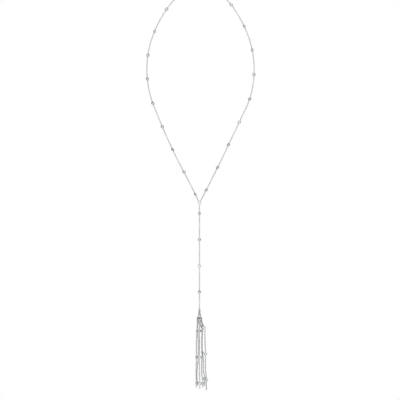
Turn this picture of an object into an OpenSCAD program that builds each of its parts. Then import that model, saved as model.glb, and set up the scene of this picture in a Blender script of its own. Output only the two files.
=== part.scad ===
// Lariat necklace: a fine silver cable chain with a bezel-set clear stone every inch, a straight drop
// and a tassel of six strands. It hangs from the nape, which is the origin. +Z is up, the wearer faces -Y.
// Millimetres.

/* [Neck loop] */
// Forward lean of the loop's plane from upright, in degrees
loop_lean = 17; // [10:1:30]
// Chain length from one stone to the next
station_pitch = 25.4; // [24:0.1:25.4]
// Chain from the junction ring's centre to the first stone on the left
first_left = 9.6; // [9:0.1:11]
// Chain from the junction ring's centre to the first stone on the right
first_right = 14.8; // [13:0.1:15]

/* [Drop] */
// Chain from the junction ring's centre to the first stone of the drop
first_drop = 10; // [9:0.1:13]
// From the junction ring's centre to the centre of the first of the rings that carry the tassel ring
drop_len = 103.9; // [100:0.1:120]

/* [Stones] */
// Diameter of each round brilliant stone
stone_d = 2.6; // [2.4:0.1:2.8]
// Height of the crown, from the girdle to the table
crown_h = 0.4; // [0.3:0.05:0.5]
// Depth of the pavilion, from the girdle to its point
pavilion_h = 1.1; // [0.9:0.05:1.15]
// Thickness of the girdle
girdle_h = 0.1; // [0.06:0.02:0.14]
// Width of the table, across its corners
table_d = 1.5; // [1.3:0.1:1.6]

/* [Settings] */
// Thickness of a setting's wall round the stone
setting_wall = 0.4; // [0.3:0.05:0.5]
// Height of a setting's collar
setting_h = 1.6; // [1.6:0.1:2]
// How far the lip is folded in over the stone's edge
lip_w = 0.12; // [0.06:0.02:0.2]
// Width of the ledge under the stone's edge
ledge_w = 0.25; // [0.2:0.05:0.4]
// Radius of a soldered loop, to the middle of its wire
loop_r = 0.5; // [0.45:0.05:0.6]
// Diameter of a soldered loop's wire
loop_wire = 0.32; // [0.26:0.02:0.36]
// From a setting's wall out to the middle of its loop
loop_out = 0.35; // [0.3:0.05:0.5]

/* [Chain] */
// Length of one link of the neck and drop chains, outside
link_l = 2; // [1.8:0.1:2.2]
// Width of that link, outside
link_w = 1.4; // [1.3:0.05:1.5]
// Diameter of its wire
link_wire = 0.3; // [0.24:0.02:0.34]
// Length of one link of the tassel's heavier chain, outside
tassel_link_l = 2; // [1.9:0.1:2.2]
// Width of that link, outside
tassel_link_w = 1.4; // [1.4:0.05:1.5]
// Diameter of its wire
tassel_link_wire = 0.34; // [0.28:0.02:0.34]

/* [Rings and clasp] */
// Radius of the junction ring, to the middle of its wire
junction_r = 1.25; // [1.1:0.05:1.6]
// Diameter of the junction ring's wire
junction_wire = 0.4; // [0.3:0.05:0.5]
// Radius of each of the rings that carry the tassel ring, to the middle of its wire
hanger_r = 1.25; // [1.2:0.05:1.4]
// Diameter of those rings' wire
hanger_wire = 0.6; // [0.4:0.05:0.6]
// Radius of the tassel ring, to the middle of its wire
tassel_ring_r = 1.55; // [1.55:0.05:1.8]
// Diameter of the tassel ring's wire
tassel_ring_wire = 0.6; // [0.5:0.05:0.6]
// Radius of the clasp's jump ring, to the middle of its wire
clasp_ring_r = 1.1; // [1:0.05:1.4]
// Diameter of the clasp's jump ring's wire
clasp_ring_wire = 0.4; // [0.3:0.05:0.5]
// Radius of the clasp's ring, to the middle of its tube
clasp_r = 1.8; // [1.6:0.1:2.2]
// Diameter of the clasp's tube
clasp_tube = 0.9; // [0.7:0.1:1]

/* [Hidden] */
// Gap kept between metal parts that hang in each other
PLAY = 0.1;
// Gap kept between a stone and its setting
SEAT_GAP = 0.05;
// Gap between a chain's swept stretch and its end links
CHAIN_GAP = 0.2;
// The stones on the left sit a little nearer to the junction from this one on, and by how much
NEARER_FROM = 7;
NEARER = 1.3;
// Stones on each side of the neck, on the drop and on each strand
NECK_STONES = 10;
DROP_STONES = 4;
STRAND_STONES = 3;
// Sides of a swept chain, and the most diameters from one of its rings to the next
CHAIN_SIDES = 8;
RING_EVERY = 3;
// Steps of the smooth curve between two points of a route
CURVE_STEPS = 24;
// Half the stretch of chain that its direction is measured over
LOOK = 0.2;
// Corners of a stone's table, and of its girdle
TABLE_SIDES = 8;
GIRDLE_SIDES = 2 * TABLE_SIDES;
// Share of the crown that lies within the collar, and of the stone's radius to the pavilion's inner corners
CROWN_IN = 0.65;
LOWER_OUT = 0.3;
// Rounding of the collar's lip, as a share of its wall
LIP_ROUND = 0.75;
// Sides of a round ring or collar, and of a round wire
ROUND_SIDES = 72;
WIRE_SIDES = 36;
FRONT = [0, -1, 0];
SILVER = "#c8cbd0";
STONE_WHITE = "#eef4f8";

// The chosen points that the chains hang through, as round numbers.
// neck: across and down in the loop's leaning plane, from the junction up the left side and on round
// a to f: across, back and up from the tassel ring's centre, one strand each, a to e from left to right
// in a view from the front and f behind a and b.
CHAIN_ROUTE = [
    ["neck", [[-1, 218.5], [-10.5, 198], [-21.5, 176], [-32, 153], [-41, 131], [-48, 112], [-51.5, 94],
              [-52, 77], [-49.5, 59], [-44, 42], [-36, 26], [-26.5, 12.5], [-15, 3.5], [0, 0],
              [15, 3.5], [26.5, 12.5], [36, 26], [44, 42], [49.5, 59], [52, 77], [51.5, 94],
              [48, 112], [40, 131], [30, 153], [19.5, 176], [9, 198], [-1, 218.5]]],
    ["a", [[0, 0, 0], [-2.1, 1.5, -1.5], [-2.1, 1.1, -5], [-2.2, 1.1, -9], [-2.5, 1.2, -15.3],
           [-3, 1.2, -26], [-3, 1.2, -40], [-3.2, 1.2, -50], [-3.1, 1.2, -60], [-2.8, 1.2, -74]]],
    ["b", [[0, 0, 0], [-1.2, -0.5, -2.7], [-0.3, -1.6, -6], [0.1, -2, -10], [-0.1, -2.2, -15],
           [0, -2.2, -26], [-0.1, -2.2, -40], [0, -2.2, -54], [0.3, -2.2, -65], [0.3, -2.2, -74]]],
    ["c", [[0, 0, 0], [0.5, 0.3, -2.9], [0.9, 0.2, -6], [1.6, 0, -10.5], [2.6, 0, -15],
           [2.3, 0, -26], [2.7, 0, -38], [2.6, 0, -41], [2.2, 0, -45], [2.2, 0, -56], [3.2, 0, -63],
           [3.3, 0, -70], [3.1, 0, -76]]],
    ["d", [[0, 0, 0], [2, 0.9, -2.4], [1.9, 1.9, -5], [2.7, 2.4, -8], [2.9, 2.6, -10.5],
           [2.6, 2.8, -17], [2.5, 2.8, -28], [2.8, 2.8, -36], [3.7, 2.8, -41], [3.9, 2.8, -53],
           [5, 2.8, -60], [4.9, 2.8, -72]]],
    ["e", [[0, 0, 0], [1.8, -1.5, -1.8], [2.2, -1.3, -4.8], [3, -1.4, -7.6], [4.2, -1.6, -10.4],
           [4.9, -1.6, -12.6], [5.3, -1.6, -18], [5.5, -1.6, -28], [5.9, -1.6, -37], [5.8, -1.6, -50],
           [6.6, -1.6, -61], [6.7, -1.6, -76]]],
    ["f", [[0, 0, 0], [-0.6, 2.4, -2.2], [-1.3, 3.5, -6], [-1.6, 4.5, -10], [-1.8, 5.3, -15],
           [-1.2, 5.3, -25], [-1.3, 5.3, -41], [-2.1, 5.3, -49], [-2.5, 5.3, -58], [-1.8, 5.3, -67],
           [-1.8, 5.3, -76]]]
];

// How far each setting is turned about its chain from facing the front, in degrees,
// from the junction or the ring onwards
LEFT_TURN = [70, 40, 60, 30, 50, 50, 15, 65, 0, 30];
RIGHT_TURN = [60, 55, 60, 30, 50, 10, 60, 60, 20, -20];
DROP_TURN = [65, 30, 5, 45];
// Turns about the drop of the rings that carry the tassel ring, in degrees from facing the front, from
// the top, and of the tassel ring
HANGER_TURN = [50, 115, 45];
HANGERS = len(HANGER_TURN);
TASSEL_TURN = -30;

// Strand, chain to its first stone, turn of its three settings, links that hang below the last
STRANDS = [
    ["a", 16.1, [110, 75, 110], 1],
    ["b", 15.1, [35, -10, -5], 2],
    ["c", 15, [80, 65, 25], 1],
    ["d", 11.3, [35, 70, 35], 4],
    ["e", 13, [15, 20, -25], 6],
    ["f", 16.2, [-15, 85, 45], 0]
];

stone_r = stone_d / 2;
table_r = table_d / 2;
crown_r = (table_r + stone_r) / 2;
crown_mid = crown_h * (stone_r - crown_r * cos(180 / TABLE_SIDES)) / (stone_r - table_r);
setting_r = stone_r + setting_wall;
clasp_loop_at = clasp_r + clasp_tube / 2 + loop_out;
clasp_ring_at = clasp_r - clasp_tube / 2 - clasp_ring_wire / 2 - PLAY + clasp_ring_r;
hanger_in = hanger_r - hanger_wire / 2;
hanger_pitch = 2 * hanger_in - PLAY;
tassel_drop = hanger_in - PLAY + tassel_ring_r - tassel_ring_wire / 2;
// Length, width and wire of a link
FINE_LINK = [link_l, link_w, link_wire];
TASSEL_LINK = [tassel_link_l, tassel_link_w, tassel_link_wire];

function unit(v) = v / norm(v);

// A smooth curve through the points p, between p[i] and p[i + 1]
function curve_point(p, i, t) =
    let (b = p[i],
         c = p[i + 1],
         a = i == 0 ? 2 * b - c : p[i - 1],
         d = i + 2 == len(p) ? 2 * c - b : p[i + 2])
    (2 * b + (c - a) * t + (2 * a - 5 * b + 4 * c - d) * t * t + (3 * b - a - 3 * c + d) * t * t * t) / 2;

function smooth(p) = [for (i = [0 : len(p) - 2], k = [0 : CURVE_STEPS - 1]) curve_point(p, i, k / CURVE_STEPS),
                      p[len(p) - 1]];

// Running length at each point of q
function run(q) = [for (i = 0, s = 0; i < len(q); i = i + 1, s = i < len(q) ? s + norm(q[i] - q[i - 1]) : s) s];

// A path: its running lengths, and a table for each of x, y and z
function path(q) =
    let (s = run(q))
    [s, for (axis = [0 : 2]) [for (i = [0 : len(q) - 1]) [s[i], q[i][axis]]]];

function path_len(p) = p[0][len(p[0]) - 1];

function at(p, s) = [lookup(s, p[1]), lookup(s, p[2]), lookup(s, p[3])];

function along(p, s) = unit(at(p, s + LOOK) - at(p, s - LOOK));

// Frame at the length s: X along the chain, Z to the front but turned about the chain
function frame(p, s, turn) =
    let (t = along(p, s),
         n0 = unit(FRONT - (FRONT * t) * t),
         n = n0 * cos(turn) + cross(t, n0) * sin(turn),
         b = cross(n, t),
         o = at(p, s))
    [[t.x, b.x, n.x, o.x], [t.y, b.y, n.y, o.y], [t.z, b.z, n.z, o.z], [0, 0, 0, 1]];

// From the middle of a round wire that a link hooks over, out to the link's own middle
function link_out(size, wire) = size[0] / 2 - size[2] - wire / 2 - PLAY;

// A stop is a place that a chain hooks into: its length along the path, from there out to the middle of its
// loop, the loop's radius and wire, and the way that the loop faces
function reach(size, stop) = stop[1] + stop[2] + link_out(size, stop[3]);

// The matrix of the end link that hooks into a stop, on the side that the chain leaves it by
function end_link(size, p, stop, side) =
    let (facing = stop[4],
         middle = at(p, stop[0]) + side * stop[1] * along(p, stop[0]),
         aim = at(p, stop[0] + side * (reach(size, stop) + size[0] / 2)),
         toward = aim - middle,
         hook = middle + stop[2] * unit(toward - (toward * facing) * facing),
         x = unit(aim - hook),
         z = unit(cross(facing, x)),
         y = cross(z, x),
         o = hook + link_out(size, stop[3]) * x)
    [[x.x, y.x, z.x, o.x], [x.y, y.y, z.y, o.y], [x.z, y.z, z.z, o.z], [0, 0, 0, 1]];

function route(name) = [for (r = CHAIN_ROUTE) if (r[0] == name) r[1]][0];

function in_loop(p) = [p[0], -p[1] * sin(loop_lean), -p[1] * cos(loop_lean)];

neck_points = [for (p = route("neck")) in_loop(p)];
NECK = path(smooth(neck_points));
neck_len = path_len(NECK);
junction_at = neck_points[0];
nape_point = [for (i = [0 : len(neck_points) - 1]) if (norm(neck_points[i]) == 0) i][0];
nape_s = NECK[0][nape_point * CURVE_STEPS];

function hanger_at(k) = junction_at - [0, 0, drop_len + (k - 1) * hanger_pitch];

tassel_ring_at = hanger_at(HANGERS) - [0, 0, tassel_drop];
DROP = path([junction_at, hanger_at(1)]);

function strand_path(name) = path([for (p = smooth(route(name))) tassel_ring_at + p]);

function left_s(k) = first_left + (k - 1) * station_pitch - (k < NEARER_FROM ? 0 : NEARER);
function right_s(k) = neck_len - first_right - (k - 1) * station_pitch;
function drop_s(k) = first_drop + (k - 1) * station_pitch;
function strand_s(strand, k) = strand[1] + (k - 1) * station_pitch;

// A closed round wire of radius r, flat in XY
module wire_ring(r, wire) {
    rotate_extrude($fn = ROUND_SIDES)
        translate([r, 0])
            circle(d = wire, $fn = WIRE_SIDES);
}

// One oval link, long along X, flat in XY
module link(size) {
    bend = (size[1] - size[2]) / 2;
    straight = size[0] - size[1];
    for (side = [0, 1])
        rotate([0, 0, 180 * side]) {
            translate([straight / 2, 0, 0])
                rotate([0, 0, -90])
                    rotate_extrude(angle = 180, $fn = ROUND_SIDES)
                        translate([bend, 0])
                            circle(d = size[2], $fn = WIRE_SIDES);
            translate([-straight / 2, bend, 0])
                rotate([0, 90, 0])
                    cylinder(d = size[2], h = straight, $fn = WIRE_SIDES);
        }
}

// The chain between two lengths of a path, as a smooth stretch of the links' own width
module swept_chain(size, p, s0, s1) {
    spans = ceil((s1 - s0) / (RING_EVERY * size[1]));
    points = [for (i = [0 : spans])
                  let (m = frame(p, s0 + (s1 - s0) * i / spans, 0))
                  for (k = [0 : CHAIN_SIDES - 1])
                      let (angle = 360 * k / CHAIN_SIDES,
                           n = cos(angle) * size[1] / 2,
                           b = sin(angle) * size[1] / 2)
                      [for (row = [0 : 2]) m[row][3] + n * m[row][2] + b * m[row][1]]];
    sides = [for (i = [0 : spans - 1], k = [0 : CHAIN_SIDES - 1])
                 let (next = (k + 1) % CHAIN_SIDES,
                      ring = i * CHAIN_SIDES)
                 [ring + k, ring + next, ring + CHAIN_SIDES + next, ring + CHAIN_SIDES + k]];
    first_end = [for (k = [CHAIN_SIDES - 1 : -1 : 0]) k];
    last_end = [for (k = [0 : CHAIN_SIDES - 1]) spans * CHAIN_SIDES + k];
    polyhedron(points, concat(sides, [first_end, last_end]));
}

// Each run of chain from one stop to the next, with its two end links
module chain_between(size, p, stops) {
    clear = size[0] / 2 + CHAIN_GAP;
    color(SILVER)
        for (i = [0 : len(stops) - 2]) {
            from = stops[i];
            to = stops[i + 1];
            multmatrix(end_link(size, p, from, 1))
                link(size);
            swept_chain(size, p, from[0] + reach(size, from) + clear, to[0] - reach(size, to) - clear);
            multmatrix(end_link(size, p, to, -1))
                link(size);
        }
}

function facing(p, s, turn) = [for (row = [0 : 2]) frame(p, s, turn)[row][2]];

function setting_stop(p, s, turn) = [s, setting_r + loop_out, loop_r, loop_wire, facing(p, s, turn)];

function junction_stop(s) = [s, 0, junction_r, junction_wire, FRONT];

// The front, turned about the drop
function turned_front(turn) = [sin(turn), -cos(turn), 0];

module neck_chain_left() {
    stones = [for (k = [1 : NECK_STONES]) setting_stop(NECK, left_s(k), LEFT_TURN[k - 1])];
    clasp_end = [nape_s, clasp_ring_at, clasp_ring_r, clasp_ring_wire, facing(NECK, nape_s, 90)];
    chain_between(FINE_LINK, NECK, concat([junction_stop(0)], stones, [clasp_end]));
}

module neck_chain_right() {
    stones = [for (k = [NECK_STONES : -1 : 1]) setting_stop(NECK, right_s(k), RIGHT_TURN[k - 1])];
    clasp_end = [nape_s, clasp_loop_at, loop_r, loop_wire, facing(NECK, nape_s, 0)];
    chain_between(FINE_LINK, NECK, concat([clasp_end], stones, [junction_stop(neck_len)]));
}

module drop_chain() {
    stones = [for (k = [1 : DROP_STONES]) setting_stop(DROP, drop_s(k), DROP_TURN[k - 1])];
    hanger_end = [drop_len, 0, hanger_r, hanger_wire, turned_front(HANGER_TURN[0])];
    chain_between(FINE_LINK, DROP, concat([junction_stop(0)], stones, [hanger_end]));
}

module strand_chain(strand) {
    p = strand_path(strand[0]);
    ring_end = [0, 0, tassel_ring_r, tassel_ring_wire, turned_front(TASSEL_TURN)];
    stones = [for (k = [1 : STRAND_STONES]) setting_stop(p, strand_s(strand, k), strand[2][k - 1])];
    chain_between(TASSEL_LINK, p, concat([ring_end], stones));
    last = stones[STRAND_STONES - 1];
    link_pitch = tassel_link_l - 2 * tassel_link_wire - PLAY;
    tail_start = last[0] + reach(TASSEL_LINK, last);
    color(SILVER)
        for (i = [0 : 1 : strand[3] - 1])
            multmatrix(frame(p, tail_start + i * link_pitch, strand[2][STRAND_STONES - 1] + 90 + 90 * i))
                link(TASSEL_LINK);
}

// Half the collar's section: an open back, a ledge and a folded lip round the stone
module collar() {
    top = setting_h / 2;
    edge = seat_z();
    back_r = stone_r - ledge_w;
    lip_r = stone_r - lip_w;
    seat_r = stone_r + SEAT_GAP;
    under_lip = edge + girdle_h / 2 + crown_mid * lip_w / (stone_r - crown_r) + SEAT_GAP;
    under_edge = edge - girdle_h / 2 - SEAT_GAP;
    ledge_end = under_edge - pavilion_h * (ledge_w + SEAT_GAP) / stone_r;
    taper = setting_wall / 2;
    round_r = setting_wall * LIP_ROUND;
    rotate_extrude($fn = ROUND_SIDES)
        polygon(concat(
            [[back_r, -top], [setting_r - taper, -top], [setting_r, -top + 2 * taper]],
            [for (angle = [0 : 30 : 90])
                 [setting_r - round_r * (1 - cos(angle)), top - round_r * (1 - sin(angle))]],
            [[lip_r + SEAT_GAP, top], [lip_r, top - SEAT_GAP], [lip_r, under_lip],
             [seat_r, edge + girdle_h / 2 + SEAT_GAP], [seat_r, under_edge], [back_r, ledge_end]]
        ));
}

// Height of the stone's edge above the middle of its setting
function seat_z() = setting_h / 2 - girdle_h / 2 - crown_h * CROWN_IN;

module setting() {
    collar();
    for (side = [-1, 1])
        translate([side * (setting_r + loop_out), 0, 0])
            wire_ring(loop_r, loop_wire);
}

// A round brilliant: eight-sided table, kites, stars and girdle facets above, mains below
module stone() {
    half = 180 / TABLE_SIDES;
    lower_r = stone_r * LOWER_OUT;
    lower_mid = pavilion_h * (1 - lower_r * cos(half) / stone_r);
    up = girdle_h / 2;
    points = concat(
        [for (k = [0 : TABLE_SIDES - 1]) ring_point(table_r, 2 * half * k, up + crown_h)],
        [for (k = [0 : TABLE_SIDES - 1]) ring_point(crown_r, 2 * half * k + half, up + crown_mid)],
        [for (j = [0 : GIRDLE_SIDES - 1]) ring_point(stone_r, half * j, up)],
        [for (j = [0 : GIRDLE_SIDES - 1]) ring_point(stone_r, half * j, -up)],
        [for (k = [0 : TABLE_SIDES - 1]) ring_point(lower_r, 2 * half * k + half, -up - lower_mid)],
        [[0, 0, -up - pavilion_h]]
    );
    mid = TABLE_SIDES;
    top_edge = mid + TABLE_SIDES;
    low_edge = top_edge + GIRDLE_SIDES;
    low = low_edge + GIRDLE_SIDES;
    tip = low + TABLE_SIDES;
    crown = [for (k = [0 : TABLE_SIDES - 1])
                 let (next = (k + 1) % TABLE_SIDES,
                      g = 2 * k,
                      g2 = (2 * k + 2) % GIRDLE_SIDES)
                 each [[k, mid + k, next],
                       [k, top_edge + g, mid + k],
                       [next, mid + k, top_edge + g2],
                       [mid + k, top_edge + g, top_edge + g + 1],
                       [mid + k, top_edge + g + 1, top_edge + g2]]];
    pavilion = [for (k = [0 : TABLE_SIDES - 1])
                    let (next = (k + 1) % TABLE_SIDES,
                         g = 2 * k,
                         g2 = (2 * k + 2) % GIRDLE_SIDES)
                    each [[tip, low + k, low_edge + g],
                          [tip, low_edge + g2, low + k],
                          [low + k, low_edge + g + 1, low_edge + g],
                          [low + k, low_edge + g2, low_edge + g + 1]]];
    girdle = [for (j = [0 : GIRDLE_SIDES - 1])
                  let (next = (j + 1) % GIRDLE_SIDES)
                  [top_edge + j, low_edge + j, low_edge + next, top_edge + next]];
    table = [for (k = [TABLE_SIDES - 1 : -1 : 0]) k];
    translate([0, 0, seat_z()])
        polyhedron(points, concat([table], crown, girdle, pavilion));
}

function ring_point(r, angle, z) = [r * cos(angle), r * sin(angle), z];

module setting_left(k) {
    color(SILVER)
        multmatrix(frame(NECK, left_s(k), LEFT_TURN[k - 1]))
            setting();
}

module setting_right(k) {
    color(SILVER)
        multmatrix(frame(NECK, right_s(k), RIGHT_TURN[k - 1]))
            setting();
}

module setting_drop(k) {
    color(SILVER)
        multmatrix(frame(DROP, drop_s(k), DROP_TURN[k - 1]))
            setting();
}

module on_strand(strand) {
    p = strand_path(strand[0]);
    for (k = [1 : STRAND_STONES])
        multmatrix(frame(p, strand_s(strand, k), strand[2][k - 1]))
            children();
}

module strand_settings(strand) {
    color(SILVER)
        on_strand(strand)
            setting();
}

module strand_stones(strand) {
    color(STONE_WHITE)
        on_strand(strand)
            stone();
}

module stones_left() {
    color(STONE_WHITE)
        for (k = [1 : NECK_STONES])
            multmatrix(frame(NECK, left_s(k), LEFT_TURN[k - 1]))
                stone();
}

module stones_right() {
    color(STONE_WHITE)
        for (k = [1 : NECK_STONES])
            multmatrix(frame(NECK, right_s(k), RIGHT_TURN[k - 1]))
                stone();
}

module stones_drop() {
    color(STONE_WHITE)
        for (k = [1 : DROP_STONES])
            multmatrix(frame(DROP, drop_s(k), DROP_TURN[k - 1]))
                stone();
}

// A ring that hangs upright, turned about the drop from facing the front
module hung_ring(turn, r, wire) {
    rotate([90, 0, turn])
        wire_ring(r, wire);
}

module junction_ring() {
    color(SILVER)
        translate(junction_at)
            hung_ring(0, junction_r, junction_wire);
}

module hanger_ring(k) {
    color(SILVER)
        translate(hanger_at(k))
            hung_ring(HANGER_TURN[k - 1], hanger_r, hanger_wire);
}

module tassel_ring() {
    color(SILVER)
        translate(tassel_ring_at)
            hung_ring(TASSEL_TURN, tassel_ring_r, tassel_ring_wire);
}

module clasp() {
    color(SILVER)
        multmatrix(frame(NECK, nape_s, 0)) {
            wire_ring(clasp_r, clasp_tube);
            translate([clasp_loop_at, 0, 0])
                wire_ring(loop_r, loop_wire);
        }
}

module clasp_ring() {
    color(SILVER)
        multmatrix(frame(NECK, nape_s, 0))
            translate([-clasp_ring_at, 0, 0])
                rotate([90, 0, 0])
                    wire_ring(clasp_ring_r, clasp_ring_wire);
}

neck_chain_left();
neck_chain_right();
drop_chain();
for (strand = STRANDS) strand_chain(strand);
for (k = [1 : NECK_STONES]) setting_left(k);
for (k = [1 : NECK_STONES]) setting_right(k);
for (k = [1 : DROP_STONES]) setting_drop(k);
for (strand = STRANDS) strand_settings(strand);
stones_left();
stones_right();
stones_drop();
for (strand = STRANDS) strand_stones(strand);
junction_ring();
for (k = [1 : HANGERS]) hanger_ring(k);
tassel_ring();
clasp();
clasp_ring();
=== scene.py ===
# %% [markdown]
# # A lariat necklace in silver and clear stone
#
# The necklace is a fine silver chain with a clear stone in a round setting every inch, a straight drop and
# a tassel of six strands. Its settings, stones, rings and clasp are already exact solids in the model that
# this scene loads, at their real size, so they only need their finish. The chain there is a plain stretch
# between two true links at each setting, and this scene makes the links in between.
#
# Everything is in metres, in the model's own frame: the origin is the middle of the clasp at the nape of
# the neck, +Z is up and the wearer faces -Y.

# %% Load the model
import math
from bisect import bisect_right
from collections import namedtuple

import bmesh
import bpy
from mathutils import Matrix, Vector


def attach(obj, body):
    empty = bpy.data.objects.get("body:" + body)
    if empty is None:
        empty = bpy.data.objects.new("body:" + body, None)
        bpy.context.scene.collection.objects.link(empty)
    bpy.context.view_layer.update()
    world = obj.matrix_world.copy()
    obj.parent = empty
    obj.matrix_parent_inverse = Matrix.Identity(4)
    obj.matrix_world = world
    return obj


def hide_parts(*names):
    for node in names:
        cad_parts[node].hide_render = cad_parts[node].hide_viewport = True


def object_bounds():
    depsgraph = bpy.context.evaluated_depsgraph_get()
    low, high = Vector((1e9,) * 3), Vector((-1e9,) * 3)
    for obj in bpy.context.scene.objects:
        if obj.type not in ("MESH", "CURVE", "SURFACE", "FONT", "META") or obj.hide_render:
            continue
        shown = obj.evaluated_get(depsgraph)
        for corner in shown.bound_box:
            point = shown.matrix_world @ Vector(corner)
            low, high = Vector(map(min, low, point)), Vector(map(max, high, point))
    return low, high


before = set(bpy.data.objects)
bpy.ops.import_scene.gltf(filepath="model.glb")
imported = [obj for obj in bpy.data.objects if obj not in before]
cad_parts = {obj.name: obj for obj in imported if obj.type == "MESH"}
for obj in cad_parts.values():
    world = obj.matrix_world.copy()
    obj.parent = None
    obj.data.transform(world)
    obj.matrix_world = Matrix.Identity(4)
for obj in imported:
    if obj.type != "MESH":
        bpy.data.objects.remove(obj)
cad_box = [[float(value) for value in corner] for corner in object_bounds()]
MM = 0.001
print("Nodes in the model:", len(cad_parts))
print("Its box in mm:", [[round(value / MM, 1) for value in corner] for corner in cad_box])

# %% [markdown]
# ## The camera
#
# A chain this fine is pictured from straight in front, and the picture cuts off the top of the loop. An
# orthographic camera would show it with no perspective at all, but it keeps its scale when it is moved
# round the necklace. A very long lens from 17 m away looks the same, and still frames the necklace from
# any side.

# %% Camera
PICTURE_SIDE = 388 * MM
PICTURE_MIDDLE = Vector((-0.5, -63.9, -205.8)) * MM
CAMERA_AWAY = 17
SENSOR = 36
RIGHT_ANGLE = 90

camera_data = bpy.data.cameras.new("studio_camera")
camera_data.sensor_width = SENSOR
camera_data.lens = SENSOR * CAMERA_AWAY / PICTURE_SIDE
camera = bpy.data.objects.new("studio_camera", camera_data)
camera.location = PICTURE_MIDDLE - Vector((0, CAMERA_AWAY, 0))
camera.rotation_euler = (math.radians(RIGHT_ANGLE), 0, 0)
bpy.context.scene.collection.objects.link(camera)
bpy.context.scene.camera = camera
print("Lens in mm:", round(camera_data.lens))

# %% [markdown]
# ## Sizes that the links share with the model
#
# A cable chain is made of oval links of round wire, each turned a quarter round from the last. The tassel's
# chain is a little heavier than the rest. These sizes are the model's own, so that the links made here hang
# in the same loops and rings. PLAY is the gap between a link and the wire that it hooks over. The stones are
# evenly spaced but for one gap, so the left ones from the seventh on sit a little nearer to the junction.

# %% Sizes, in metres
Link = namedtuple("Link", "length width wire")
FINE_LINK = Link(2 * MM, 1.4 * MM, 0.3 * MM)
TASSEL_LINK = Link(2 * MM, 1.4 * MM, 0.34 * MM)
PLAY = 0.1 * MM
SETTING_RADIUS = 1.7 * MM
LOOP_OUT = 0.35 * MM
LOOP_RADIUS = 0.5 * MM
LOOP_WIRE = 0.32 * MM
JUNCTION_RADIUS = 1.25 * MM
JUNCTION_WIRE = 0.4 * MM
HANGER_RADIUS = 1.25 * MM
HANGER_WIRE = 0.6 * MM
TASSEL_RING_RADIUS = 1.55 * MM
TASSEL_RING_WIRE = 0.6 * MM
CLASP_RING_RADIUS = 1.1 * MM
CLASP_RING_WIRE = 0.4 * MM
CLASP_RADIUS = 1.8 * MM
CLASP_TUBE = 0.9 * MM
STATION_PITCH = 25.4 * MM
FIRST_LEFT = 9.6 * MM
NEARER_FROM = 7
NEARER = 1.3 * MM
FIRST_RIGHT = 14.8 * MM
FIRST_DROP = 10 * MM
DROP_LENGTH = 103.9 * MM
LOOP_LEAN = math.radians(17)
print("Link in mm:", [round(side / MM, 2) for side in FINE_LINK])

# %% [markdown]
# ## The route of each chain
#
# A chain could be hung by simulation, but it would settle a little differently from the solids that it
# stands for. So each one follows the same few points as in the model, with a smooth curve through them. The
# neck's points are across and down in the loop's leaning plane, and a strand's are across, back and up from
# the middle of the tassel ring.

# %% Routes, in millimetres
NECK_ROUTE = [
    (-1, 218.5), (-10.5, 198), (-21.5, 176), (-32, 153), (-41, 131), (-48, 112), (-51.5, 94),
    (-52, 77), (-49.5, 59), (-44, 42), (-36, 26), (-26.5, 12.5), (-15, 3.5), (0, 0),
    (15, 3.5), (26.5, 12.5), (36, 26), (44, 42), (49.5, 59), (52, 77), (51.5, 94),
    (48, 112), (40, 131), (30, 153), (19.5, 176), (9, 198), (-1, 218.5)]
STRAND_ROUTES = {
    "a": [(0, 0, 0), (-2.1, 1.5, -1.5), (-2.1, 1.1, -5), (-2.2, 1.1, -9), (-2.5, 1.2, -15.3),
          (-3, 1.2, -26), (-3, 1.2, -40), (-3.2, 1.2, -50), (-3.1, 1.2, -60), (-2.8, 1.2, -74)],
    "b": [(0, 0, 0), (-1.2, -0.5, -2.7), (-0.3, -1.6, -6), (0.1, -2, -10), (-0.1, -2.2, -15),
          (0, -2.2, -26), (-0.1, -2.2, -40), (0, -2.2, -54), (0.3, -2.2, -65), (0.3, -2.2, -74)],
    "c": [(0, 0, 0), (0.5, 0.3, -2.9), (0.9, 0.2, -6), (1.6, 0, -10.5), (2.6, 0, -15),
          (2.3, 0, -26), (2.7, 0, -38), (2.6, 0, -41), (2.2, 0, -45), (2.2, 0, -56), (3.2, 0, -63),
          (3.3, 0, -70), (3.1, 0, -76)],
    "d": [(0, 0, 0), (2, 0.9, -2.4), (1.9, 1.9, -5), (2.7, 2.4, -8), (2.9, 2.6, -10.5),
          (2.6, 2.8, -17), (2.5, 2.8, -28), (2.8, 2.8, -36), (3.7, 2.8, -41), (3.9, 2.8, -53),
          (5, 2.8, -60), (4.9, 2.8, -72)],
    "e": [(0, 0, 0), (1.8, -1.5, -1.8), (2.2, -1.3, -4.8), (3, -1.4, -7.6), (4.2, -1.6, -10.4),
          (4.9, -1.6, -12.6), (5.3, -1.6, -18), (5.5, -1.6, -28), (5.9, -1.6, -37), (5.8, -1.6, -50),
          (6.6, -1.6, -61), (6.7, -1.6, -76)],
    "f": [(0, 0, 0), (-0.6, 2.4, -2.2), (-1.3, 3.5, -6), (-1.6, 4.5, -10), (-1.8, 5.3, -15),
          (-1.2, 5.3, -25), (-1.3, 5.3, -41), (-2.1, 5.3, -49), (-2.5, 5.3, -58), (-1.8, 5.3, -67),
          (-1.8, 5.3, -76)]}

# %% [markdown]
# ## How the settings are turned
#
# Each setting hangs a little turned about its chain, and its two loops turn with it. The first link on each
# side stands at right angles to the loop that it hooks into, so the turns decide how the chain starts and
# ends.

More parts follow.
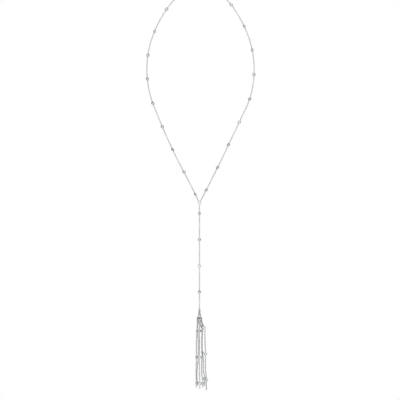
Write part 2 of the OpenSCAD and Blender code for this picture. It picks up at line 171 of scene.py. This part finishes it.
# %% Turns in degrees, from the junction or the ring onwards
LEFT_TURNS = [70, 40, 60, 30, 50, 50, 15, 65, 0, 30]
RIGHT_TURNS = [60, 55, 60, 30, 50, 10, 60, 60, 20, -20]
DROP_TURNS = [65, 30, 5, 45]
HANGER_TURNS = [50, 115, 45]
TASSEL_TURN = -30
Strand = namedtuple("Strand", "first turns tail")
STRANDS = {
    "a": Strand(16.1 * MM, [110, 75, 110], 1),
    "b": Strand(15.1 * MM, [35, -10, -5], 2),
    "c": Strand(15 * MM, [80, 65, 25], 1),
    "d": Strand(11.3 * MM, [35, 70, 35], 4),
    "e": Strand(13 * MM, [15, 20, -25], 6),
    "f": Strand(16.2 * MM, [-15, 85, 45], 0)}

# %% [markdown]
# ## A path that can be measured
#
# Blender's own curve objects can't say where the point 127 mm along them is. A list of closely spaced
# points with their running lengths can. It takes a few short functions: to smooth the chosen points, to
# look up a place, and to find the chain's direction and a setting's front there. LOOK is how far to each
# side of a place its direction is measured.

# %% Paths
CURVE_STEPS = 24
LOOK = 0.2 * MM
FRONT = Vector((0, -1, 0))


def curve_point(points, i, t):
    """The smooth curve through the points, a share t of the way from point i to the next."""
    b, c = points[i], points[i + 1]
    a = 2 * b - c if i == 0 else points[i - 1]
    d = 2 * c - b if i + 2 == len(points) else points[i + 2]
    bent = (c - a) * t + (2 * a - 5 * b + 4 * c - d) * t ** 2 + (3 * b - a - 3 * c + d) * t ** 3
    return b + bent / 2


def smooth(points):
    """The chosen points with CURVE_STEPS steps between each two."""
    spans = range(len(points) - 1)
    return [curve_point(points, i, k / CURVE_STEPS) for i in spans for k in range(CURVE_STEPS)] + [points[-1]]


def make_path(points):
    """The points with the running length at each."""
    lengths = [0.0]
    for a, b in zip(points, points[1:]):
        lengths.append(lengths[-1] + (b - a).length)
    return points, lengths


def at(path, s):
    """The place a length s along the path."""
    points, lengths = path
    s = min(max(s, 0.0), lengths[-1])
    i = min(bisect_right(lengths, s), len(points) - 1)
    return points[i - 1].lerp(points[i], (s - lengths[i - 1]) / (lengths[i] - lengths[i - 1]))


def along(path, s):
    """The direction of the path at the length s."""
    return (at(path, s + LOOK) - at(path, s - LOOK)).normalized()


def facing(path, s, turn):
    """The way a setting faces: to the front, square to its chain, and turned about it by some degrees."""
    t = along(path, s)
    front = (FRONT - FRONT.dot(t) * t).normalized()
    return Matrix.Rotation(math.radians(turn), 3, t) @ front


# %% [markdown]
# ## Where everything hangs
#
# The neck's path starts and ends at the junction ring and passes the nape. The drop hangs straight down from
# the junction, the hanger rings hang in each other at its end, and the strands start from the tassel ring's
# middle. Each height follows from the sizes of the rings above it.

# %% The necklace's own paths
neck_points = [Vector((u, -v * math.sin(LOOP_LEAN), -v * math.cos(LOOP_LEAN))) * MM
               for u, v in NECK_ROUTE]
neck = make_path(smooth(neck_points))
neck_length = neck[1][-1]
nape = neck[1][NECK_ROUTE.index((0, 0)) * CURVE_STEPS]

junction = neck_points[0]
first_hanger = junction - Vector((0, 0, DROP_LENGTH))
hanger_in = HANGER_RADIUS - HANGER_WIRE / 2
hangers_length = (len(HANGER_TURNS) - 1) * (2 * hanger_in - PLAY)
tassel_drop = hanger_in - PLAY + TASSEL_RING_RADIUS - TASSEL_RING_WIRE / 2
tassel_ring = first_hanger - Vector((0, 0, hangers_length + tassel_drop))
drop = make_path([junction, first_hanger])
strand_paths = {name: make_path([tassel_ring + p for p in smooth([Vector(q) * MM for q in route])])
                for name, route in STRAND_ROUTES.items()}
print("Neck loop in mm:", round(neck_length / MM, 1), "and its nape at", round(nape / MM, 1))
print("Tassel ring's height in mm:", round(tassel_ring.z / MM, 1))

# %% [markdown]
# ## Where the chain hooks in
#
# A stop is a loop or ring that a chain hangs in. It has a place along the path, a step out to the middle of
# its loop, the loop's radius and wire, and the way that the loop faces. The end link is set from the wire
# that it hooks over and not from the path, because a chain that leaves a loop at a slant pulls on it there.

# %% Stops and end links
Stop = namedtuple("Stop", "s out radius wire faces")


def turned_front(turn):
    """The front, turned about the drop."""
    return Matrix.Rotation(math.radians(turn), 3, "Z") @ FRONT


def setting_stop(path, s, turn):
    """The stop that a setting's two loops make."""
    return Stop(s, SETTING_RADIUS + LOOP_OUT, LOOP_RADIUS, LOOP_WIRE, facing(path, s, turn))


def link_out(size, wire):
    """From the middle of a wire to the middle of the link that hooks over it."""
    return size.length / 2 - size.wire - wire / 2 - PLAY


def reach(size, stop):
    """From a stop's place to the middle of the link that hooks into it."""
    return stop.out + stop.radius + link_out(size, stop.wire)


def placed(x, z, origin):
    """The matrix that puts a link's length along x and its flat side towards z."""
    turned = Matrix((x, z.cross(x), z)).transposed()
    return Matrix.Translation(origin) @ turned.to_4x4()


def end_link(size, path, stop, side):
    """The link that hooks into a stop, on the side that the chain leaves it by."""
    middle = at(path, stop.s) + side * stop.out * along(path, stop.s)
    aim = at(path, stop.s + side * (reach(size, stop) + size.length / 2))
    toward = aim - middle
    hook = middle + stop.radius * (toward - toward.dot(stop.faces) * stop.faces).normalized()
    x = (aim - hook).normalized()
    return placed(x, stop.faces.cross(x).normalized(), hook + link_out(size, stop.wire) * x)


# %% [markdown]
# ## The links between two stops
#
# The links could be instanced along a curve by a modifier, which turns them all by a fixed quarter. Here
# they have to end at a given turn at both stops. So the flat side of the first link is carried along the
# path with no twist, each link is turned a quarter more, and the small turn that is missing at the far end
# is shared out over the whole run, as a real chain shares it. TIGHT is the gap between two links' wires when
# the chain is drawn straight. The number of links is rounded up, so that none has to reach further.

# %% Places of the links
TIGHT = 0.02 * MM
QUARTER = math.radians(RIGHT_ANGLE)


def pitch(size, gap):
    """From one link's middle to the next one's, with a gap between their wires."""
    return size.length - 2 * size.wire - gap


def run_places(size, path, start, end):
    """A matrix for each link from one stop to the next."""
    first = end_link(size, path, start, 1)
    last = end_link(size, path, end, -1)
    s0 = start.s + reach(size, start)
    s1 = end.s - reach(size, end)
    count = math.ceil((s1 - s0) / pitch(size, TIGHT))
    lengths = [s0 + (s1 - s0) * j / count for j in range(count + 1)]
    flat = first.col[2].xyz
    flats = []
    for s in lengths:
        t = along(path, s)
        flat = (flat - flat.dot(t) * t).normalized()
        flats.append(flat)
    turned = Matrix.Rotation(QUARTER * count, 3, t) @ flat
    wanted = last.col[2].xyz
    missing = math.atan2(turned.cross(wanted).dot(t), turned.dot(wanted))
    missing = (missing + QUARTER) % (2 * QUARTER) - QUARTER
    places = [first]
    for j in range(1, count):
        t = along(path, lengths[j])
        z = Matrix.Rotation((QUARTER + missing / count) * j, 3, t) @ flats[j]
        places.append(placed(t, z, at(path, lengths[j])))
    return places + [last]


def chain_places(size, path, stops):
    """The places of all the links along a row of stops."""
    return [place for a, b in zip(stops, stops[1:]) for place in run_places(size, path, a, b)]


# %% [markdown]
# ## One link
#
# A real link is wire wound round an oval bar, cut and soldered. Its model starts as the wire's round
# section. That is spun half way round one end, the half is copied and turned to the other end, and the two
# open ends are extruded along the straight sides. Six sides of wire and ten steps round are 60 faces.
# Smooth shading does the rest, because the chains repeat their link more than six hundred times.

# %% Link mesh
WIRE_SIDES = 6
BEND_STEPS = 4
DOUBLES = 0.001 * MM


def make_link(size):
    """The mesh of one link, flat, with its length along X."""
    bend = (size.width - size.wire) / 2
    straight = size.length - size.width
    bm = bmesh.new()
    section = Matrix.Translation((straight / 2, -bend, 0)) @ Matrix.Rotation(QUARTER, 4, "Y")
    bmesh.ops.create_circle(bm, segments=WIRE_SIDES, radius=size.wire / 2, matrix=section)
    bmesh.ops.spin(bm, geom=bm.edges[:], cent=(straight / 2, 0, 0), axis=(0, 0, 1), angle=2 * QUARTER,
                   steps=BEND_STEPS)
    open_ends = [edge for edge in bm.edges if edge.is_boundary]
    other = bmesh.ops.duplicate(bm, geom=bm.verts[:] + bm.edges[:] + bm.faces[:])["geom"]
    bmesh.ops.rotate(bm, verts=[item for item in other if isinstance(item, bmesh.types.BMVert)],
                     matrix=Matrix.Rotation(2 * QUARTER, 3, "Z"))
    sides = bmesh.ops.extrude_edge_only(bm, edges=open_ends)["geom"]
    bmesh.ops.translate(bm, verts=[item for item in sides if isinstance(item, bmesh.types.BMVert)],
                        vec=(-straight, 0, 0))
    bmesh.ops.remove_doubles(bm, verts=bm.verts, dist=DOUBLES)
    bmesh.ops.recalc_face_normals(bm, faces=bm.faces)
    for face in bm.faces:
        face.smooth = True
    mesh = bpy.data.meshes.new("link")
    bm.to_mesh(mesh)
    bm.free()
    return mesh


links = {size: make_link(size) for size in (FINE_LINK, TASSEL_LINK)}
print("Faces in each link:", [len(mesh.polygons) for mesh in links.values()])

# %% [markdown]
# ## Colour and nodes
#
# Colours are written as they look on a screen, in sRGB, and Blender's shaders want them linear. One
# function turns one into the other, and one more adds a node with its settings and its links, so that each
# material below reads as a short list.

# %% Helpers for materials


def linear(hex_colour):
    """A linear colour with alpha from sRGB hex."""
    parts = [int(hex_colour[i:i + 2], 16) / 255 for i in (1, 3, 5)]
    return [part / 12.92 if part <= 0.04045 else ((part + 0.055) / 1.055) ** 2.4 for part in parts] + [1.0]


def add_node(tree, kind, inputs=None, **settings):
    """One node, with its settings, and a value or an output for each input named."""
    node = tree.nodes.new(kind)
    for name, value in settings.items():
        setattr(node, name, value)
    for name, value in (inputs or {}).items():
        if isinstance(value, bpy.types.NodeSocket):
            tree.links.new(value, node.inputs[name])
        else:
            node.inputs[name].default_value = value
    return node


def new_material(name):
    """A material with an empty tree and Object coordinates to start from."""
    material = bpy.data.materials.new(name)
    material.use_nodes = True
    tree = material.node_tree
    tree.nodes.clear()
    place = add_node(tree, "ShaderNodeTexCoord").outputs["Object"]
    return material, tree, place


# %% [markdown]
# ## Silver
#
# The metal is sterling silver with a bright rhodium plate, which is why it looks neutral grey and not warm.
# It could be one mirror, but polished silver never is: the buff leaves faint hollows and fine lines, and
# where links rub, the plate is a little duller. So the roughness wanders between two values over a few
# tenths of a millimetre, the colour between two close greys, and a very low bump breaks up the reflections.
# The lines of a real polish are some hundredths of a millimetre, too fine to show, so they are drawn
# several times as coarse.

# %% Silver materials
NOISE_RANGE = (0.35, 0.65)
BUMP_STRENGTH = 0.2
BUMP_HEIGHT = 0.01 * MM


def silver(name, bright, dull, smooth_rough, worn_rough, patch, line):
    """Silver from two greys, two roughnesses and the sizes of its patches and polishing lines."""
    material, tree, place = new_material(name)
    patches = add_node(tree, "ShaderNodeTexNoise", {"Vector": place, "Scale": 1 / patch, "Detail": 2.0})
    lines = add_node(tree, "ShaderNodeTexNoise", {"Vector": place, "Scale": 1 / line, "Detail": 3.0})
    colour = add_node(tree, "ShaderNodeMix", {"Factor": patches.outputs["Fac"], "A": linear(bright),
                                              "B": linear(dull)}, data_type="RGBA")
    rough = add_node(tree, "ShaderNodeMapRange", {
        "Value": patches.outputs["Fac"], "From Min": NOISE_RANGE[0], "From Max": NOISE_RANGE[1],
        "To Min": smooth_rough, "To Max": worn_rough})
    bump = add_node(tree, "ShaderNodeBump", {
        "Height": lines.outputs["Fac"], "Strength": BUMP_STRENGTH, "Distance": BUMP_HEIGHT})
    shader = add_node(tree, "ShaderNodeBsdfPrincipled", {
        "Base Color": colour.outputs["Result"], "Roughness": rough.outputs["Result"],
        "Normal": bump.outputs["Normal"], "Metallic": 1.0})
    add_node(tree, "ShaderNodeOutputMaterial", {"Surface": shader.outputs["BSDF"]})
    return material


setting_silver = silver("polished_rhodium_plated_silver", "#dcdee1", "#ced0d4", 0.08, 0.18,
                        patch=0.6 * MM, line=0.09 * MM)
wire_silver = silver("tumbled_rhodium_plated_silver_wire", "#c8cace", "#b4b7bc", 0.16, 0.3,
                     patch=0.4 * MM, line=0.09 * MM)
# The tassel's chain is painted darker. Its greys are painted shade for the close strands shading and darkly
# reflecting each other.
painted_shade_strand_silver = silver("rhodium_plated_silver_wire_with_painted_shade", "#b4b6ba", "#9ea0a5", 0.2, 0.34,
                       patch=0.4 * MM, line=0.09 * MM)
# The rings above the tassel are painted darker still. Their greys are painted shade for where the strands
# crowd together.
painted_shade_ring_silver = silver("sterling_silver_rings_with_painted_shade", "#a0a2a6", "#8c8e92", 0.22, 0.38,
                     patch=0.5 * MM, line=0.12 * MM)
print("Silver:", [material.name for material in (setting_silver, wire_silver, painted_shade_strand_silver, painted_shade_ring_silver)])

# %% [markdown]
# ## Clear stone
#
# The stones are cubic zirconia, a made crystal that is cut and polished like diamond. Its facets are real
# faces in the mesh, so the material only has to bend light as much as the crystal does: its index is 2.15,
# against 1.5 for glass, and that is what makes the points of light. It is clear with a breath of grey, and
# a polish that is very slightly uneven keeps the facets from looking like cut air.

# %% Stone material
STONE_IOR = 2.15
CLOUD_SIZE = 1.5 * MM
STONE_ROUGHNESS = 0.03


def clear_stone():
    """The crystal, with a faint cloud in its colour and polish."""
    material, tree, place = new_material("cut_cubic_zirconia")
    cloud = add_node(tree, "ShaderNodeTexNoise", {"Vector": place, "Scale": 1 / CLOUD_SIZE, "Detail": 1.0})
    colour = add_node(tree, "ShaderNodeMix", {"Factor": cloud.outputs["Fac"], "A": linear("#ffffff"),
                                              "B": linear("#eef1f4")}, data_type="RGBA")
    rough = add_node(tree, "ShaderNodeMapRange", {
        "Value": cloud.outputs["Fac"], "To Min": 0.0, "To Max": STONE_ROUGHNESS})
    shader = add_node(tree, "ShaderNodeBsdfPrincipled", {
        "Base Color": colour.outputs["Result"], "Roughness": rough.outputs["Result"],
        "Transmission Weight": 1.0, "IOR": STONE_IOR})
    add_node(tree, "ShaderNodeOutputMaterial", {"Surface": shader.outputs["BSDF"]})
    return material


stone_material = clear_stone()
print("Stone:", stone_material.name)

# %% [markdown]
# ## Finish of the model's own pieces
#
# The settings, stones, rings and clasp keep their meshes. Each only gets its material: the crystal on every
# node of stones, the brighter polish on what is turned and set by hand, the tumbled finish on the fine
# chain and its rings, a rougher, darker one on the tassel's chain, and the roughest, darkest one on the heavy
# rings above the tassel, which carry its weight. These two darker greys are painted shade. They stand in for
# the shade and dark reflections where the tassel's strands crowd together.

# %% Materials on the model's pieces
strand_nodes = ["strand_chain_" + name for name in STRANDS]
wire_nodes = ["neck_chain_left", "neck_chain_right", "drop_chain", "junction_ring", "clasp_ring"]
ring_nodes = ["tassel_ring"] + [f"hanger_ring_{k + 1}" for k in range(len(HANGER_TURNS))]


def finish_for(name):
    """The material for a node of the model, by its name."""
    if "stones" in name:
        return stone_material
    if name in ring_nodes:
        return painted_shade_ring_silver
    if name in strand_nodes:
        return painted_shade_strand_silver
    return wire_silver if name in wire_nodes else setting_silver


for name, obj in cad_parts.items():
    obj.data.materials.clear()
    obj.data.materials.append(finish_for(name))
print("Nodes given a finish:", len(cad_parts))

# %% [markdown]
# ## The chains
#
# Each chain is one piece: the link's mesh is copied to every place along it and joined. It stands for the
# plain stretch of chain in the model, and its end links lie where the model's do.

# %% Make the chains


def make_chain(name, link, places, material):
    """One piece from a copy of the link at every place."""
    bm = bmesh.new()
    for place in places:
        copy = link.copy()
        copy.transform(place)
        bm.from_mesh(copy)
        bpy.data.meshes.remove(copy)
    mesh = bpy.data.meshes.new(name)
    bm.to_mesh(mesh)
    bm.free()
    mesh.materials.append(material)
    piece = bpy.data.objects.new(name, mesh)
    bpy.context.scene.collection.objects.link(piece)
    return piece


clasp_ring_at = CLASP_RADIUS - CLASP_TUBE / 2 - CLASP_RING_WIRE / 2 - PLAY + CLASP_RING_RADIUS
clasp_loop_at = CLASP_RADIUS + CLASP_TUBE / 2 + LOOP_OUT
ring_end = Stop(nape, clasp_ring_at, CLASP_RING_RADIUS, CLASP_RING_WIRE, facing(neck, nape, RIGHT_ANGLE))
loop_end = Stop(nape, clasp_loop_at, LOOP_RADIUS, LOOP_WIRE, facing(neck, nape, 0))
junction_start = Stop(0, 0, JUNCTION_RADIUS, JUNCTION_WIRE, FRONT)
junction_end = Stop(neck_length, 0, JUNCTION_RADIUS, JUNCTION_WIRE, FRONT)
drop_end = Stop(DROP_LENGTH, 0, HANGER_RADIUS, HANGER_WIRE, turned_front(HANGER_TURNS[0]))

left_shifts = [0 if k + 1 < NEARER_FROM else NEARER for k in range(len(LEFT_TURNS))]
left_stones = [setting_stop(neck, FIRST_LEFT + k * STATION_PITCH - left_shifts[k], turn)
               for k, turn in enumerate(LEFT_TURNS)]
right_stones = [setting_stop(neck, neck_length - FIRST_RIGHT - k * STATION_PITCH, turn)
                for k, turn in enumerate(RIGHT_TURNS)]
drop_stones = [setting_stop(drop, FIRST_DROP + k * STATION_PITCH, turn) for k, turn in enumerate(DROP_TURNS)]


def tail_places(path, stop, turn, tail):
    """The links that hang loose below a strand's last stone."""
    places = []
    for i in range(tail):
        s = stop.s + reach(TASSEL_LINK, stop) + i * pitch(TASSEL_LINK, PLAY)
        places.append(placed(along(path, s), facing(path, s, turn + RIGHT_ANGLE * (i + 1)), at(path, s)))
    return places


def strand_places(name):
    """The places of a strand's links, from the tassel ring to its tail."""
    path, strand = strand_paths[name], STRANDS[name]
    stones = [setting_stop(path, strand.first + k * STATION_PITCH, turn)
              for k, turn in enumerate(strand.turns)]
    start = Stop(0, 0, TASSEL_RING_RADIUS, TASSEL_RING_WIRE, turned_front(TASSEL_TURN))
    hung = chain_places(TASSEL_LINK, path, [start] + stones)
    return hung + tail_places(path, stones[-1], strand.turns[-1], strand.tail)


chains = {
    "neck_chain_left": (FINE_LINK, chain_places(FINE_LINK, neck, [junction_start, *left_stones, ring_end])),
    "neck_chain_right": (FINE_LINK, chain_places(FINE_LINK, neck,
                                                 [loop_end, *right_stones[::-1], junction_end])),
    "drop_chain": (FINE_LINK, chain_places(FINE_LINK, drop, [junction_start, *drop_stones, drop_end]))}
for name in STRANDS:
    chains["strand_chain_" + name] = (TASSEL_LINK, strand_places(name))

for node, (size, places) in chains.items():
    piece = make_chain(node.replace("chain", "links"), links[size], places, finish_for(node))
    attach(piece, "root")
    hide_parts(node)
    print(piece.name, "has", len(places), "links and", len(piece.data.polygons), "faces")
for mesh in links.values():
    bpy.data.meshes.remove(mesh)

# %% [markdown]
# ## Floor
#
# The necklace hangs over a floor of pale, matt card, clear of the tassel. The card has a faint grain.

# %% Floor
FLOOR_DROP = 60 * MM
FLOOR_RADIUS = 0.7
FLOOR_SIDES = 96
GRAIN_SIZE = 2 * MM
CARD_ROUGHNESS = 0.9

floor_bm = bmesh.new()
bmesh.ops.create_circle(floor_bm, cap_ends=True, segments=FLOOR_SIDES, radius=FLOOR_RADIUS)
bmesh.ops.translate(floor_bm, verts=floor_bm.verts, vec=(0, PICTURE_MIDDLE.y, cad_box[0][2] - FLOOR_DROP))
floor_mesh = bpy.data.meshes.new("floor")
floor_bm.to_mesh(floor_mesh)
floor_bm.free()
floor = bpy.data.objects.new("floor", floor_mesh)
bpy.context.scene.collection.objects.link(floor)


def pale_card():
    """Matt card with a faint grain, for the floor."""
    material, tree, place = new_material("pale_matt_card")
    grain = add_node(tree, "ShaderNodeTexNoise", {"Vector": place, "Scale": 1 / GRAIN_SIZE, "Detail": 2.0})
    colour = add_node(tree, "ShaderNodeMix", {
        "Factor": grain.outputs["Fac"], "A": linear("#ebebea"), "B": linear("#e5e5e4")}, data_type="RGBA")
    shader = add_node(tree, "ShaderNodeBsdfPrincipled", {
        "Base Color": colour.outputs["Result"], "Roughness": CARD_ROUGHNESS})
    add_node(tree, "ShaderNodeOutputMaterial", {"Surface": shader.outputs["BSDF"]})
    return material


floor_mesh.materials.append(pale_card())
print("Floor's height in mm:", round((cad_box[0][2] - FLOOR_DROP) / MM, 1))

# %% [markdown]
# ## Light tent
#
# Polished silver shows what is round it, so in an all white room it would vanish. It hangs in a jeweller's
# light tent instead. The camera sees the tent's white back, also through the clear stones, and white light
# falls on the floor. The metal reflects the tent's shaded walls and front, which draw its edges. Their tones
# go by the share of the way from the tent's bottom to its top.

# %% World
TENT_TONES = [(0.0, "#f0f0f0"), (0.42, "#b8b8b8"), (0.47, "#e0e0e0"), (0.56, "#dcdcdc"), (0.62, "#545454"),
              (0.8, "#505050"), (0.9, "#b8b8b8"), (1.0, "#ffffff")]
BACKDROP_EDGE = (0.75, 0.85)

world = bpy.data.worlds.new("light_tent")
world.use_nodes = True
bpy.context.scene.world = world
tree = world.node_tree
tree.nodes.clear()
direction = add_node(tree, "ShaderNodeTexCoord").outputs["Generated"]
ways = add_node(tree, "ShaderNodeSeparateXYZ", {"Vector": direction}).outputs
share = add_node(tree, "ShaderNodeMapRange", {"Value": ways["Z"], "From Min": -1.0, "From Max": 1.0})
tent = add_node(tree, "ShaderNodeValToRGB", {"Fac": share.outputs["Result"]})
steps = tent.color_ramp.elements
steps[0].position, steps[0].color = TENT_TONES[0][0], linear(TENT_TONES[0][1])
steps[1].position, steps[1].color = TENT_TONES[-1][0], linear(TENT_TONES[-1][1])
for position, tone in TENT_TONES[1:-1]:
    steps.new(position).color = linear(tone)
behind = add_node(tree, "ShaderNodeMapRange", {"Value": ways["Y"], "From Min": BACKDROP_EDGE[0],
                                               "From Max": BACKDROP_EDGE[1]})
walls = add_node(tree, "ShaderNodeMix", {"Factor": behind.outputs["Result"], "A": tent.outputs["Color"],
                                         "B": linear("#ffffff")}, data_type="RGBA")
seen = add_node(tree, "ShaderNodeBackground", {"Color": linear("#ffffff"), "Strength": 1.0})
felt = add_node(tree, "ShaderNodeBackground", {"Color": walls.outputs["Result"], "Strength": 1.0})
rays = add_node(tree, "ShaderNodeLightPath").outputs
white_rays = rays["Is Camera Ray"]
for kind in ("Is Transmission Ray", "Is Diffuse Ray"):
    either = add_node(tree, "ShaderNodeMath", operation="MAXIMUM")
    tree.links.new(white_rays, either.inputs[0])
    tree.links.new(rays[kind], either.inputs[1])
    white_rays = either.outputs["Value"]
mixed = add_node(tree, "ShaderNodeMixShader", {"Fac": white_rays})
tree.links.new(felt.outputs["Background"], mixed.inputs[1])
tree.links.new(seen.outputs["Background"], mixed.inputs[2])
add_node(tree, "ShaderNodeOutputWorld", {"Surface": mixed.outputs["Shader"]})
print("Tones in the tent:", len(TENT_TONES))

# %% [markdown]
# ## Lamps
#
# Three soft lamps round the tent add the points of light. Their places are in metres from the middle of the
# picture. The Standard view transform keeps the tent's white a true white.

# %% Lamps


def softbox(name, place, side, power):
    """A square lamp that looks at the middle of the picture, with its side in metres and power in watts."""
    data = bpy.data.lights.new(name, "AREA")
    data.size = side
    data.energy = power
    lamp = bpy.data.objects.new(name, data)
    lamp.location = PICTURE_MIDDLE + Vector(place)
    lamp.rotation_euler = (-Vector(place)).to_track_quat("-Z", "Y").to_euler()
    bpy.context.scene.collection.objects.link(lamp)
    return lamp


lamps = [softbox("softbox_left", (-1.2, -1.0, 1.0), 1.2, 5),
         softbox("softbox_right", (1.4, -0.6, 0.7), 1.0, 3),
         softbox("softbox_back", (0.2, 1.4, 1.0), 1.2, 3)]
print("Lamps:", [lamp.name for lamp in lamps])

bpy.context.scene.view_settings.view_transform = "Standard"
